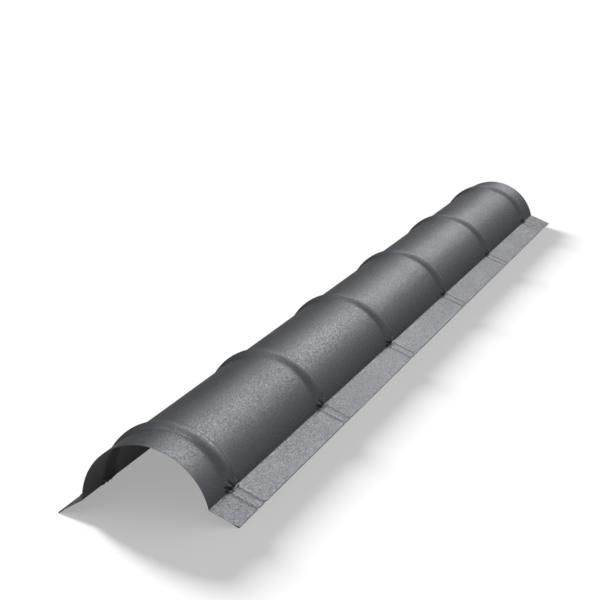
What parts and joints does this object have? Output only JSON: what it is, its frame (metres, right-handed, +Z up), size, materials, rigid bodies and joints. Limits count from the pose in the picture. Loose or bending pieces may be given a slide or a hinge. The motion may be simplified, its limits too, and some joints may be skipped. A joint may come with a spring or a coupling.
{
  "type": "roof ridge cap",
  "caption": "Half-round sheet-metal roof ridge cap with sloping hemmed flanges and raised ring beads pressed across it, for covering a roof's ridge.",
  "frame": {"origin": "centre of the bounding box in plan, on the level floor that the two flange hems stand on", "axes": "+X along the ridge, towards the end that is further away in the picture; +Y across it, towards the flange on the picture's left; +Z up"},
  "size_m": [2, 0.312, 0.1284],
  "materials": {
    "coated_steel": "satin, finely grained polymer coat"
  },
  "bodies": {
    "root": {"ridge_cap": "coated_steel"}
  },
  "joints": []
}
